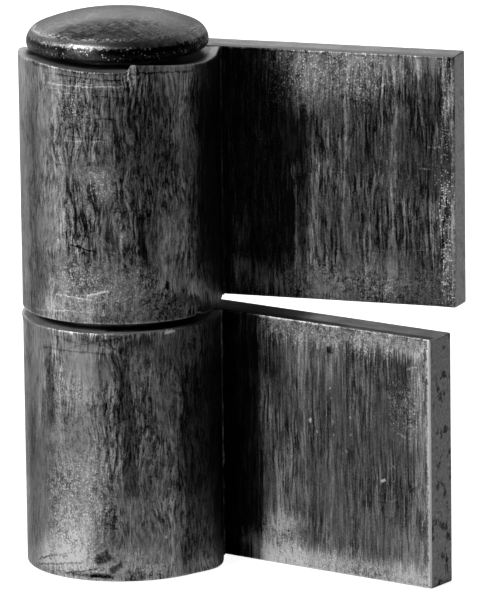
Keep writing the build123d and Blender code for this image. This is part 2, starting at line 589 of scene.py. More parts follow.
def wear_mark_group():
    """Adds an amount inside a box that may be turned, with soft edges.

    The running total travels as the third part of the place, so that marks follow one another.
    """
    sheet, given = open_group("Wear mark", ("Place and total", "Centre", "Half size"),
                              ("Turn", "Softness", "Amount"))
    offset = sheet.vector("SUBTRACT", given["Place and total"], given["Centre"])
    turn_back = sheet.math("MULTIPLY", given["Turn"], -1.0)
    turned = sheet.add("VectorRotate", {"Vector": offset, "Angle": turn_back},
                       rotation_type="Z_AXIS").outputs[0]
    beyond = sheet.vector("SUBTRACT", sheet.vector("ABSOLUTE", turned), given["Half size"])
    half_soft = sheet.math("MULTIPLY", given["Softness"], 0.5)
    inside = sheet.rise(sheet.math("MAXIMUM", *sheet.along_and_up(beyond)),
                        sheet.math("MULTIPLY", half_soft, -1.0), half_soft, 1.0, 0.0)
    change = sheet.join(0.0, 0.0, sheet.math("MULTIPLY", inside, given["Amount"]))
    state = sheet.vector("ADD", given["Place and total"], change)
    return close_group(sheet, "Place and total", state, "NodeSocketVector")


def speckle_group():
    """Small specks for painted glints: 1 on a few cells, 0 between them."""
    sheet, given = open_group("Speckle", ("Place",), ("Spacing", "Share"))
    cells = sheet.vector("DIVIDE", given["Place"], sheet.join(*[given["Spacing"]] * 3))
    voronoi = sheet.add("TexVoronoi", {"Vector": cells, "Scale": 1.0}, voronoi_dimensions="3D")
    chance = sheet.part(voronoi.outputs["Color"], 0)
    shown = sheet.math("LESS_THAN", chance, given["Share"])
    round_spot = sheet.rise(voronoi.outputs["Distance"], 0.15, 0.5, 1.0, 0.0)
    return close_group(sheet, "Level", sheet.math("MULTIPLY", shown, round_spot))


def crack_group():
    """Short crooked dark lines, as in bruised scale: 1 on a line, 0 beside it."""
    sheet, given = open_group("Cracks", ("Place",), ("Across", "Along", "Seed"))
    x, y = sheet.along_and_up(given["Place"])
    place = sheet.lumps(x, y, given["Across"], given["Along"], given["Seed"])
    from_line = sheet.math("ABSOLUTE", sheet.math("SUBTRACT", sheet.noise(place, 3.0, 0.65), 0.5))
    broken = sheet.rise(sheet.noise(place, 2.0, 0.6, (0.9, 0.9, 1.7)), 0.48, 0.58)
    line = sheet.rise(from_line, 0.01, 0.05, 1.0, 0.0)
    return close_group(sheet, "Level", sheet.math("MULTIPLY", line, broken))


def edge_wear_group():
    """1 at a worn edge, ragged, and 0 further in than the reach."""
    sheet, given = open_group("Edge wear", ("Place",), ("Distance", "Reach"))
    ragged = sheet.noise(given["Place"], 3.0, 0.7, (1.4, 1.4, 1.0))
    shift = sheet.math("MULTIPLY", sheet.math("SUBTRACT", ragged, 0.5), given["Reach"])
    reached = sheet.math("MULTIPLY_ADD", shift, 2.0, given["Distance"])
    return close_group(sheet, "Wear", sheet.rise(reached, 0.0, given["Reach"], 1.0, 0.0))


# ---- wear marks ----
# A mark is a box on the flat bar, in mm: its middle, along the bar from the pin's axis and up
# from its lower edge, its half sizes, and how soft its edge is. It may be turned, in degrees.
# Its amount adds to the tone of the steel, from 0, black scale, to 1, bright metal. Some marks paint
# shade or highlights into the tone instead; the tables say which.
Mark = namedtuple("Mark", "along up half_along half_up amount soft turn", defaults=(0.2, 0))

# One face of a plate: the seed, mean tone, streak length and wander of its pattern; how patchy and
# flaked it is; how far its edges are rubbed, and how bright a painted highlight along the roll's end
# is; and where its marks are. Lines are sharp, glints are painted glints, bright specks in the colour
# that stand in for sparkle of light, calm places have faint streaks, bruises have blots.
Plate = namedtuple("Plate", "seed tone length wander patchy flaked rubbed end_rubbed "
                            "marks lines glints calm bruises")


def mark_table(*rows):
    """Marks from rows of numbers, in the order of a mark's fields."""
    return tuple(Mark(*row) for row in rows)


# The bar's outside. The back of the knuckle is from 0 to -24, its front about -49 and its right
# about -73. Above 0 is the back of the leaf.
UPPER_KNUCKLE_MARKS = mark_table(
    # (-78, 20) is painted shade: the knuckle's right side, in the corner against its leaf, is darkened.
    (-78, 20, 10.5, 24, -0.28, 5), (-71, 3, 5.5, 0.9, 0.44, 1.6, 20), (-69, 5, 3.5, 3, 0.16, 4),
    (-69, 38.5, 3, 2, 0.13, 3), (-68.5, 0.8, 1, 0.5, -0.3, 0.6), (-67, 3.3, 2.3, 0.5, -0.3, 0.6, 6),
    (-64.5, 34.5, 2.2, 5.5, 0.14, 2.5), (-62.8, 10.5, 2.8, 6.5, 0.13, 1.2),
    (-62.5, 2, 3.5, 1.2, 0.13, 1.5), (-61.2, 10.5, 0.5, 5, 0.12, 0.5, 3),
    (-61, 2, 3.3, 1.8, -0.12, 1.6), (-59, 24, 3.5, 14, -0.11, 5),
    (-57.6, 12, 0.5, 5.5, -0.2, 0.8, -9), (-56.3, 31.5, 0.4, 3, -0.12, 0.8, -8),
    (-56, 30, 4.5, 6, -0.06, 4), (-54.6, 19.5, 0.4, 2.6, -0.18, 0.7, -4),
    (-53.4, 31, 0.35, 4.5, -0.24, 0.6, -12), (-53, 2, 3, 1.2, -0.08, 1.2),
    (-52.8, 15, 0.35, 4, -0.22, 0.6, -12), (-51, 22.5, 1.8, 2.2, 0.12, 2),
    (-50.2, 18.5, 0.35, 4, -0.32, 0.5, -14), (-50, 4.5, 9, 4.5, 0.12, 4),
    (-50, 38.8, 18, 2, 0.06, 2.5), (-48.7, 14.5, 0.3, 4, -0.3, 0.5, -16),
    (-48, 14, 1.5, 2, 0.13, 1.5), (-47.6, 15.5, 0.8, 8, -0.05, 1, -9),
    (-46.4, 18, 0.3, 5, -0.3, 0.5, -10), (-45, 2, 6, 2.5, 0.08, 3), (-45, 18, 1, 14, 0.06, 2),
    (-41.8, 20, 2.6, 24, 0.17, 3), (-41.5, 8, 2.5, 3.5, -0.12, 2.5), (-36, 36.5, 5, 5, 0.08, 4),
    (-33, 20, 3.5, 24, 0.2, 4), (-12, 20, 7, 24, -0.12, 6, 4), (9, 12, 9, 9, 0.1, 7),
    (30, 26, 8, 24, -0.12, 8, -3), (46, 30, 6, 9, 0.1, 6),
)
UPPER_KNUCKLE_LINES = mark_table(
    # (-61.5, 39) is painted shade: a dark line under the raised lip.
    (-61.5, 5.8, 0.3, 0.6, -0.6, 0.4, 15), (-61.5, 39, 6, 0.1, -0.3),
    (-60.6, 24, 0.08, 5, 0.15, 0.2, 2), (-56.2, 38.4, 0.4, 0.08, -0.35, 0.2, 30),
    (-56, 18, 3, 0.06, -0.26), (-55.7, 39.2, 0.15, 0.7, 0.45), (-54.2, 13, 0.12, 4, 0.22, 0.3),
    (-53.5, 11.5, 1.6, 0.05, 0.22), (-53, 38.8, 2.4, 0.05, -0.25, 0.2, -2),
    (-52.6, 37, 2, 0.04, -0.2, 0.2, 3), (-52.5, 36.1, 2.6, 0.06, -0.26, 0.2, 4),
    (-51, 32.7, 3, 0.07, -0.28, 0.2, 5), (-50.8, 38.2, 3, 0.05, 0.26, 0.2, -2),
    (-50.3, 4.9, 1.8, 0.14, 0.5, 0.2, -16), (-49.5, 38.9, 5.5, 0.05, -0.3, 0.2, 2),
    (-49, 29.5, 3.4, 0.05, -0.25, 0.2, 4), (-49, 37.7, 7, 0.08, 0.34),
    (-48.4, 11.2, 0.5, 0.3, -0.3, 0.4, 20), (-48.3, 29, 3.3, 0.05, 0.25, 0.2, -2),
    (-48, 12, 2.2, 0.12, -0.45, 0.2, 12), (-47, 39.9, 9, 0.35, -0.25, 0.4),
    (-46.5, 38.3, 3.5, 0.05, -0.26, 0.2, -1), (-46.3, 4.1, 3.3, 0.09, 0.34, 0.2, 3),
    (-46, 39, 5, 0.04, -0.18), (-45.5, 1.8, 4.5, 0.06, 0.22, 0.2, -1),
    (-45.5, 36.4, 2.5, 0.05, 0.24, 0.2, 1), (-45, 25, 1, 0.06, -0.28), (-43.5, 37, 2.5, 0.04, 0.22),
    (-42, 1.5, 4.5, 0.05, 0.26, 0.2, -6),
)
UPPER_KNUCKLE_GLINTS = mark_table(
    (-52, 5.5, 7, 3, 0.5, 2), (-51, 22, 1.6, 2, 0.7, 1.5), (-46.5, 34.2, 1.5, 1.6, 0.9, 1.5),
    (-46, 14, 3, 10, 0.35, 3),
)
UPPER_KNUCKLE_CALM = mark_table(
    (-71, 3, 8, 2.5, 0.6, 3, 10), (-35, 20, 6, 24, 0.5, 4),
)
UPPER_KNUCKLE_BRUISES = mark_table(
    (-61, 2.5, 4, 2.5, 0.9, 1.5), (-51, 5, 8, 5, 0.55, 3), (-51, 22, 3, 3.5, 0.6, 2),
    (-46.5, 34, 2, 2.5, 0.6, 1.5),
)

LOWER_KNUCKLE_MARKS = mark_table(
    # The two marks at -80 are painted shade: the knuckle's right side, in the corner against its leaf,
    # is darkened.
    (-80, 18.5, 11.5, 15.5, -0.12, 1.2), (-80, 20, 12, 24, -0.11, 4), (-75, 3.5, 7, 4, 0.14, 4),
    (-67, 10, 9, 3.5, 0.09, 4), (-66.5, 16, 0.25, 14, 0.14, 0.4),
    (-64.6, 22, 0.4, 12, 0.06, 0.5, -2), (-62, 3, 6, 3.5, 0.18, 4),
    (-61.5, 3, 3.5, 1.6, 0.16, 2, 15), (-61.5, 38, 2, 1.5, -0.12, 1.5),
    (-61, 38.8, 3, 1.2, -0.1, 1.2), (-60.5, 1, 1.5, 0.5, -0.3, 0.6),
    (-59.4, 25.5, 1.2, 12, -0.18, 1, -5), (-58, 1.5, 24, 2, 0.1, 2), (-56.5, 38, 2, 1.5, 0.15, 1.2),
    (-56.3, 26, 1.2, 9, 0.1, 1.5, -4), (-55.5, 38.8, 3.5, 1.2, -0.12, 1.2),
    (-55.3, 28, 1.5, 7, -0.08, 2.5, -6), (-54.5, 6.5, 2.5, 3, -0.09, 2),
    (-51, 20, 4.4, 24, 0.19, 2.5, -3), (-51, 39.2, 7, 1, -0.1, 0.8), (-50.5, 24, 2, 4, -0.12, 2),
    (-50.5, 33.5, 4, 3, 0.06, 2), (-49.8, 7, 4.2, 4, 0.19, 4), (-48, 4.5, 4.5, 2.6, 0.14, 2.5, -10),
    (-47, 1.8, 6, 2.5, 0.1, 2), (-46.2, 14, 1, 2, 0.12, 1.2), (-46.1, 30.5, 1, 6, -0.2, 1.2),
    (-44, 20, 2, 24, 0.07, 2), (-43.4, 27.5, 0.6, 6, 0.14, 1, 10), (-42.5, 2.5, 3, 2.5, 0.12, 3),
    (-42, 31, 2.5, 5, 0.1, 3), (-41, 16, 2.5, 12, -0.05, 3), (-40, 10, 4, 5, 0.09, 5),
    (-40, 38, 6, 3, 0.12, 3), (-36, 20, 3, 24, 0.14, 3), (-14, 12, 6, 12, 0.08, 6),
    (4, 24, 6, 24, -0.13, 6, 5), (24, 8, 10, 6, 0.1, 6), (40, 24, 7, 24, -0.1, 7, -3),
)
LOWER_KNUCKLE_LINES = mark_table(
    (-66.6, 39.6, 0.9, 0.2, 0.65), (-65.5, 6.8, 0.25, 0.25, 0.4),
    (-58, 39.2, 2.5, 0.09, -0.18, 0.3, -8), (-57.5, 37.8, 1.5, 0.09, -0.2, 0.3, 40),
    (-57.3, 2.2, 1.2, 0.5, -0.38, 0.5, -30), (-55.2, 3.7, 1.3, 0.8, -0.42, 0.8, -32),
    (-55, 38.3, 3, 0.09, -0.18, 0.3, 14), (-54.8, 0.9, 1.6, 0.4, -0.35, 0.4),
    (-53.5, 0.8, 3.5, 0.2, -0.4, 0.3), (-52, 37.8, 2, 0.09, -0.16, 0.3, -16),
    (-51.5, 1.4, 3, 0.16, -0.4, 0.3, -12), (-51, 36.8, 6, 0.1, -0.22, 0.3),
    (-50.2, 5.8, 0.8, 0.06, -0.4, 0.1, -40), (-49.5, 6.2, 0.8, 0.06, -0.4, 0.1, 30),
    (-49.5, 38.6, 2.5, 0.09, -0.16, 0.3, 10), (-47, 2, 5, 0.12, -0.4, 0.2, -11),
    (-46, 3.2, 3.6, 0.08, -0.28, 0.2, -16), (-44.5, 2.8, 2.5, 0.1, -0.25, 0.2, -22),
)
LOWER_KNUCKLE_GLINTS = mark_table(
    (-50.5, 10, 5.5, 9, 0.5, 4),
)
LOWER_KNUCKLE_CALM = mark_table(
    (-66.5, 36.5, 2.5, 2.5, 0.6, 2), (-63, 4, 6, 3, 0.4, 3), (-53, 35, 4, 2.5, 0.6, 2),
    (-39, 19, 6.5, 24, 0.5, 4),
)
LOWER_KNUCKLE_BRUISES = mark_table(
    (-53, 2, 12, 2.5, 0.9, 1.5), (-50.5, 9, 6, 8, 0.6, 3), (-50, 25, 5, 8, 0.4, 4),
)

# The bar's inside, which is the front of the leaf.
UPPER_FLAT_MARKS = mark_table(
    # (16, 20) is painted shadow: the leaf's root, where the knuckle casts its shadow, is darkened.
    (16, 20, 11.5, 24, -0.21, 5), (16.7, 9, 1.2, 5, 0.1, 1.5), (20, 2.8, 5, 3, 0.14, 4),
    (25.5, 38.8, 3.5, 2.2, 0.2, 4), (26, 2, 8, 2.5, 0.09, 3), (26, 13.5, 0.4, 8.5, 0.16, 0.6, 2),
    (27.5, 34, 2, 4, 0.12, 3), (29, 15, 0.5, 9, 0.15, 0.6, -3), (32, 37, 7, 4.5, 0.19, 5),
    (34, 3, 9, 4, 0.13, 5), (34.1, 22, 0.35, 12, 0.17, 0.5, -1), (38, 27.5, 2.5, 6, -0.07, 3),
    (41, 7, 0.5, 5, 0.13, 0.6), (41.5, 37, 2, 3, 0.12, 2), (42, 19, 0.4, 14, 0.15, 0.6, -1),
    (42.5, 38.8, 8, 2, 0.17, 2.5), (43.8, 10.5, 0.3, 7.5, 0.08, 0.5), (45, 2.5, 6, 3, 0.08, 3),
    (46, 26, 3, 8, -0.08, 3), (46.3, 35, 0.35, 5, 0.17, 0.5), (48.3, 12, 0.3, 4, 0.16, 0.4),
    (50.8, 10, 1.4, 10, 0.12, 1.5), (50.8, 34, 0.8, 4, 0.15, 0.8),
)
UPPER_FLAT_LINES = mark_table(
    (33, 20.7, 1.5, 0.05, 0.18, 0.2, 4), (35, 39.9, 17, 0.35, -0.22, 0.4),
    (46.4, 9, 1.2, 0.05, 0.22, 0.2, 8), (47, 22, 0.8, 0.08, 0.3), (48.5, 25.5, 1, 0.07, 0.28),
    (51.6, 20, 0.2, 21, 0.22, 0.3),
)
UPPER_FLAT_GLINTS = mark_table(
    (19, 20, 5, 20, 0.12, 2), (24.5, 35.5, 3, 5, 0.35, 3), (33, 37.5, 9, 3.5, 0.5, 4),
    (40, 24, 12, 17, 0.16, 4), (50.6, 10, 1.6, 11, 0.8, 1), (50.6, 20, 1, 24, 0.55, 1.2),
)
UPPER_FLAT_BRUISES = mark_table(
    (31, 36, 8, 5, 0.5, 4), (38, 2.5, 14, 3, 0.6, 3),
)

LOWER_FLAT_MARKS = mark_table(
    # (8, 20) and (12, 20) darken the leaf's root: partly scale that the belt could not reach by the
    # knuckle, partly painted shadow of the knuckle.
    (8, 20, 11.8, 24, -0.24, 0.9), (12, 20, 3.5, 24, -0.08, 3), (18, 2.2, 2.2, 2.4, 0.22, 0.8),
    (19.3, 34, 1, 3, -0.13, 1), (21.5, 20, 0.25, 10, 0.06, 0.4), (21.8, 34, 1.5, 3.6, -0.14, 1),
    (23, 8.5, 1.6, 2, 0.08, 1.5), (23, 9, 0.4, 5, 0.12, 0.6, 1), (23.5, 28, 1.5, 3, -0.08, 2),
    (24, 4, 3.8, 4.2, 0.34, 2.5), (24.6, 12.5, 2.4, 6.5, 0.2, 3), (27, 6, 1.2, 1.5, -0.14, 1.2),
    (28, 21, 0.35, 17, 0.18, 0.5, 1), (29.7, 34, 0.4, 3.5, -0.14, 0.7), (30.5, 35.5, 4, 3, 0.1, 3),
    (31, 2, 4, 2, 0.12, 3), (33, 34, 7, 3, 0.08, 4), (33.5, 14.5, 3.5, 3, 0.08, 2.5),
    (33.5, 17, 0.2, 8, 0.14, 0.4), (36, 1, 18, 2.2, 0.38, 2.5), (36.8, 33.5, 0.9, 3.5, -0.13, 1.2),
    (38, 29.5, 0.3, 5, 0.16, 0.5), (38, 38.7, 16.5, 2, 0.2, 2.5), (40, 8, 11, 4, 0.08, 5),
    (41.5, 10, 0.9, 5, 0.05, 1.2), (42.3, 17.5, 0.25, 1.5, 0.18, 0.4),
    (44.5, 38.5, 7, 2, 0.12, 2.5), (45.5, 34, 2.6, 3, -0.08, 2), (48.5, 4.5, 3.5, 4, 0.18, 3),
    (49, 29, 2, 6, 0.1, 3), (50.3, 25, 1.4, 13, 0.14, 2),
)
LOWER_FLAT_LINES = mark_table(
    (28.9, 23, 0.12, 0.12, 0.45), (29.2, 24.1, 0.18, 0.34, 0.75, 0.2, -10),
    (29.8, 23.3, 0.12, 0.12, 0.45), (30.6, 22.5, 0.14, 0.14, 0.45), (33, 36, 0.5, 0.5, -0.4, 0.5),
    (33.1, 29.9, 0.16, 0.16, 0.45), (33.3, 28.3, 0.12, 0.12, 0.4), (33.6, 24.5, 0.14, 0.14, 0.4),
    (33.7, 22.3, 0.16, 0.14, 0.4), (36.1, 20, 0.14, 0.12, 0.4),
    (36.6, 38, 0.8, 0.08, -0.2, 0.2, 45), (36.9, 25.5, 0.12, 0.12, 0.4),
    (37, 22.8, 0.12, 0.12, 0.4), (38, 36.6, 0.9, 0.1, -0.22, 0.2, 52),
    (38.6, 36.2, 0.9, 0.1, -0.22, 0.2, 52), (39.2, 35.8, 0.8, 0.1, -0.22, 0.2, 52),
    (43, 39.9, 8, 0.35, -0.28, 0.4), (43.1, 16.3, 0.38, 0.3, 0.75, 0.2, 20),
    (45, 16.3, 0.12, 0.12, 0.4), (45, 18.8, 0.14, 0.12, 0.45), (46.5, 24, 0.9, 0.1, 0.25, 0.2, -20),
    (48.5, 35, 0.9, 0.1, 0.3, 0.2, 18), (50.8, 11.5, 0.08, 1.4, 0.3, 0.2, -20),
    (50.9, 33, 0.15, 3, 0.25, 0.3, -4), (51.2, 24, 0.15, 4, 0.3, 0.3, 3),
    (51.75, 20.5, 0.35, 20, 0.66, 0.3),
)
LOWER_FLAT_GLINTS = mark_table(
    (33, 38, 8, 2, 0.3, 3), (38, 20, 15, 20, 0.12, 4), (47, 29, 2.5, 4, 0.4, 2),
)
LOWER_FLAT_CALM = mark_table(
    (38, 20, 10, 14, 0.25, 5),
)
LOWER_FLAT_BRUISES = mark_table(
    (24, 3.5, 4, 3.5, 0.8, 2), (36, 38.5, 16, 2, 0.7, 3), (40, 1.3, 12.5, 1.7, 0.7, 1.5),
    (47, 28, 2.5, 3.5, 0.6, 2),
)

UPPER_KNUCKLE = Plate(
    seed=40.0, tone=0.4, length=1.0, wander=0.7, patchy=0.05, flaked=0.13,
    rubbed=0.35, end_rubbed=0.7, marks=UPPER_KNUCKLE_MARKS, lines=UPPER_KNUCKLE_LINES,
    glints=UPPER_KNUCKLE_GLINTS, calm=UPPER_KNUCKLE_CALM, bruises=UPPER_KNUCKLE_BRUISES)
LOWER_KNUCKLE = Plate(
    seed=3.0, tone=0.42, length=1.0, wander=0.7, patchy=0.05, flaked=0.12,
    rubbed=0.20, end_rubbed=0.0, marks=LOWER_KNUCKLE_MARKS, lines=LOWER_KNUCKLE_LINES,
    glints=LOWER_KNUCKLE_GLINTS, calm=LOWER_KNUCKLE_CALM, bruises=LOWER_KNUCKLE_BRUISES)
UPPER_FLAT = Plate(
    seed=62.0, tone=0.28, length=1.6, wander=0.22, patchy=0.03, flaked=0.12,
    rubbed=0.35, end_rubbed=0.0, marks=UPPER_FLAT_MARKS, lines=UPPER_FLAT_LINES,
    glints=UPPER_FLAT_GLINTS, calm=(), bruises=UPPER_FLAT_BRUISES)
LOWER_FLAT = Plate(
    seed=21.0, tone=0.36, length=2.0, wander=0.16, patchy=0.02, flaked=0.10,
    rubbed=0.40, end_rubbed=0.0, marks=LOWER_FLAT_MARKS, lines=LOWER_FLAT_LINES,
    glints=LOWER_FLAT_GLINTS, calm=LOWER_FLAT_CALM, bruises=LOWER_FLAT_BRUISES)

# On the pin's head, in X and Y: where its scale is torn, and how its tone changes.
HEAD_TORN = mark_table(
    (3.7, -9, 7.5, 2.8, 1, 2.4, 36),
)
HEAD_MARKS = mark_table(
    # (-6.5, 8.9) lightens the back of the crown: a painted reflection of the light behind the hinge.
    (-9.5, -7.5, 4.5, 5, 0.02, 4, 36), (-6.5, 8.9, 13, 3.5, 0.06, 5, 36),
    (2.6, -8.8, 5.5, 2.6, -0.18, 1.6, 36), (8, -3, 7, 9, -0.07, 6, 36),
    (15.2, -3.8, 12, 4.2, -0.24, 8, 36),
)

# On the cut rims: along the bar, and across it from the pin's axis. The barrels' rims are darkened
# with painted shade, under the pin's head and in the gap between the knuckles; the leaves' rims are
# darker along their front edge.
BARREL_RIM_PAINTED_SHADE = mark_table(
    (-72, 11, 16, 3.2, -0.45, 0.6), (-42, 11.3, 16, 1.9, -0.42, 1.5),
    (-16, 11, 17, 3.2, -0.45, 0.6),
)
LEAF_RIM_MARKS = mark_table(
    (32, 10.5, 20, 0.7, -0.42, 0.9),
)
UPPER_RIM_MARKS = BARREL_RIM_PAINTED_SHADE + LEAF_RIM_MARKS + mark_table(
    (-42, 12.9, 16, 2.6, 0.14, 1.2), (30, 13, 22, 5, -0.05, 4), (49, 13, 9, 5, -0.1, 8),
)
LOWER_RIM_MARKS = BARREL_RIM_PAINTED_SHADE + LEAF_RIM_MARKS + mark_table(
    # (14, 13) is painted shadow: the lower leaf's rim darkened where it lies under the upper leaf.
    (14, 13, 12, 5, -0.45, 6), (44, 10.6, 8, 0.8, 0.22, 3),
)


# ---- materials ----
# Metres to mm, as a stretch.
TO_MM = (1 / MM,) * 3

# The tone is kept above the floor, and its power gives the share of bare metal.
TONE_FLOOR = 0.05
TONE_POWER = 2.2

# Of brushed plate: bruises and painted glints outside their marks, how far fine marks waver in mm,
# how strongly cracks and painted glints show, and how far in the rubbed edges and the painted
# highlight at the roll's end reach in mm.
BRUISED_EVERYWHERE = 0.12
GLINTS_EVERYWHERE = 0.05
SHAKE = 0.9
CRACK_DEPTH = 0.28
PAINTED_GLINT_LIGHT = 0.5
EDGE_REACH = 0.45
END_REACH = 0.4

# How bright the oiled steel is.
SHANK_LEVEL = 0.30
WASHER_LEVEL = 0.12

# Of the pin's head: its mean tone, what torn scale takes from tone and sheen, the height of the
# painted highlight round the shoulder above the head's underside in mm, and how bright it is painted.
HEAD_TONE = 0.21
TORN_TONE = -0.12
TORN_SHEEN = -0.26
HEAD_SHEEN = 0.87
SHOULDER_HEIGHT = 2.8
SHOULDER_PAINTED_HIGHLIGHT = 0.62


def new_steel(name):
    """A new material and its sheet."""
    material = bpy.data.materials.new(name)
    material.use_nodes = True
    return material, NodeSheet(material.node_tree)


def wire_shader(sheet, colour, roughness, metallic=1.0, relief=None):
    """Sets the material's shader; a relief is its height, strength and depth in mm."""
    shader = sheet.tree.nodes["Principled BSDF"]
    for name, value in {"Base Color": colour, "Roughness": roughness, "Metallic": metallic}.items():
        sheet.connect(value, shader.inputs[name])
    if relief:
        height, strength, depth = relief
        bump = sheet.add("Bump", {"Strength": strength, "Distance": depth * MM, "Height": height})
        sheet.connect(bump.outputs["Normal"], shader.inputs["Normal"])


def bar_place(sheet):
    """Where a point is on the flat bar, in mm."""
    return sheet.vector("MULTIPLY", sheet.add("UVMap", uv_map="flat_bar").outputs["UV"], TO_MM)


def object_place(sheet):
    """Where a point is on the hinge, in mm."""
    return sheet.vector("MULTIPLY", sheet.add("TexCoord").outputs["Object"], TO_MM)


def add_marks(sheet, group, place, marks, total):
    """The marks' amounts at a place, added to a total."""
    state = sheet.vector("ADD", place, sheet.join(0.0, 0.0, total))
    for mark in marks:
        state = sheet.use(group, Place_and_total=state, Centre=(mark.along, mark.up, 0),
                          Half_size=(mark.half_along, mark.half_up, 0), Turn=radians(mark.turn),
                          Softness=mark.soft, Amount=mark.amount)
    return sheet.part(state, 2)


def tone_colour(sheet, tone):
    """The colour of steel for a tone, from black scale to bare metal."""
    finish = bpy.context.scene.hinge_finish
    limited = sheet.math("MINIMUM", sheet.math("MAXIMUM", tone, TONE_FLOOR), 1.0)
    share_bare = sheet.math("POWER", limited, TONE_POWER)
    return sheet.mix_colour(share_bare, (*finish.mill_scale, 1), (*finish.bare_steel, 1))


def brushed_plate(name, groups, plate, roll):
    """Hot-rolled plate whose black scale has been brushed through to bare metal in streaks."""
    finish = bpy.context.scene.hinge_finish
    material, sheet = new_steel(name)
    place = bar_place(sheet)
    x, y = sheet.along_and_up(place)
    seed = plate.seed

    bent = sheet.use(groups.bend, Place=place, Wander=plate.wander, Seed=seed)
    hair = sheet.use(groups.brush, Place=bent, Across=0.26, Along=5.0 * plate.length, Seed=seed)
    fibre = sheet.use(groups.brush, Place=bent, Across=0.36, Along=3.5 * plate.length, Seed=seed + 4)
    broad = sheet.use(groups.brush, Place=bent, Across=1.0, Along=11.0 * plate.length, Seed=seed + 8)
    grain = sheet.use(groups.brush, Place=place, Across=0.24, Along=0.34, Seed=seed + 12)
    flakes = sheet.use(groups.brush, Place=bent, Across=0.42, Along=1.8 * plate.length, Seed=seed + 16)
    mottle = sheet.use(groups.brush, Place=bent, Across=0.8, Along=1.3, Seed=seed + 20)

    # Where a patch's edge is torn along the streaks, and where a fine mark wavers.
    sideways = sheet.math("ADD", sheet.swing(broad, 2.4), sheet.swing(mottle, 1.2))
    lengthways = sheet.math("ADD", sheet.swing(hair, 7.0), sheet.swing(fibre, 7.0))
    torn_place = sheet.vector("ADD", bent, sheet.join(sideways, lengthways))
    shake = sheet.noise(place, 2.0, 0.7, (1.2, 1.2, 1.0), "Color")
    shaky_place = sheet.vector("ADD", place, sheet.vector("MULTIPLY", shake, (SHAKE, SHAKE, 0.0)))
    shaky_place = sheet.vector("SUBTRACT", shaky_place, (SHAKE / 2, SHAKE / 2, 0.0))

    calm = add_marks(sheet, groups.mark, torn_place, plate.calm, 0.0)
    bruised = add_marks(sheet, groups.mark, torn_place, plate.bruises, BRUISED_EVERYWHERE)
    glinting = add_marks(sheet, groups.mark, torn_place, plate.glints, GLINTS_EVERYWHERE)

    # The pattern: streaks, or blots and cracks where the plate is bruised.
    streaks = sheet.math("ADD", sheet.swing(hair, 0.60), sheet.rise(fibre, 0.46, 0.58, -0.06, 0.12))
    streaks = sheet.math("ADD", streaks, sheet.swing(grain, 0.50))
    streaks = sheet.math("ADD", streaks, sheet.rise(broad, 0.40, 0.60, -0.09, 0.09))
    streaks = sheet.math("ADD", streaks, sheet.rise(flakes, 0.43, 0.52, -plate.flaked, plate.flaked))
    blots = sheet.math("ADD", sheet.rise(mottle, 0.36, 0.58, -0.12, 0.12), sheet.swing(grain, 1.1))
    cracks = sheet.use(groups.crack, Place=bent, Across=0.8, Along=0.7, Seed=seed + 24)
    blots = sheet.math("MULTIPLY_ADD", cracks, -CRACK_DEPTH, blots)
    pattern = sheet.mix(bruised, streaks, blots)

    # The tone, and how strongly the pattern shows on it.
    tone = add_marks(sheet, groups.mark, torn_place, plate.marks, plate.tone)
    patchy = sheet.noise(bent, 2.0, 0.6, (0.22, 0.11, 1.0))
    tone = sheet.math("ADD", tone, sheet.rise(patchy, 0.35, 0.65, plate.patchy, -plate.patchy))
    strength = sheet.rise(tone, 0.05, 0.40, 0.45, 1.0)
    strength = sheet.math("MULTIPLY", strength, sheet.rise(patchy, 0.35, 0.65, 0.6, 1.4))
    strength = sheet.math("MULTIPLY", strength, sheet.math("SUBTRACT", 1.0, calm))
    tone = sheet.math("MULTIPLY_ADD", pattern, strength, tone)

    # Painted glints: bright specks in the colour, where the glint marks say, stand in for sparkle of
    # light.
    spots = sheet.use(groups.speckle, Place=place, Spacing=0.34, Share=0.6)
    tone = sheet.math("MULTIPLY_ADD", sheet.math("MULTIPLY", spots, glinting), PAINTED_GLINT_LIGHT, tone)

    tone = add_marks(sheet, groups.mark, shaky_place, plate.lines, tone)
    from_edge = sheet.math("MINIMUM", y, sheet.math("SUBTRACT", roll.height / MM, y))
    from_edge = sheet.math("MINIMUM", from_edge, sheet.math("SUBTRACT", roll.reach / MM, x))
    rubbed = sheet.use(groups.edge, Place=place, Distance=from_edge, Reach=EDGE_REACH)
    tone = sheet.math("MULTIPLY_ADD", rubbed, plate.rubbed, tone)
    # A painted highlight along the roll's sheared end, brightening the corner where it would catch
    # light.
    if plate.end_rubbed:
        from_end = sheet.math("SUBTRACT", x, bar_start(roll) / MM)
        rubbed = sheet.use(groups.edge, Place=place, Distance=from_end, Reach=END_REACH)
        tone = sheet.math("MULTIPLY_ADD", rubbed, plate.end_rubbed, tone)

    colour = tone_colour(sheet, tone)
    roughness = sheet.rise(tone, 0.1, 0.8, finish.scale_roughness, finish.steel_roughness)
    wire_shader(sheet, colour, roughness, relief=(pattern, 0.8, 0.12))
    return material


def cut_edge(name, groups, level, marks):
    """The sawn rims of the bar: bare and faintly lined, darkened where the marks say, partly with
    painted shade.
    """
    material, sheet = new_steel(name)
    place = bar_place(sheet)
    saw = sheet.use(groups.brush, Place=place, Across=2.5, Along=0.25, Seed=31.0)
    cloud = sheet.noise(place, 4.0, 0.6, (0.25, 0.5, 1.0))
    grain = sheet.noise(place, 3.0, 0.7, (2.5, 2.5, 1.0))
    tone = add_marks(sheet, groups.mark, place, marks, level)
    for noise_level, amount in ((saw, 0.4), (cloud, 0.4), (grain, 0.5)):
        tone = sheet.math("ADD", tone, sheet.swing(noise_level, amount))
    roughness = bpy.context.scene.hinge_finish.scale_roughness
    wire_shader(sheet, tone_colour(sheet, tone), roughness, metallic=0.4, relief=(tone, 0.5, 0.10))
    return material


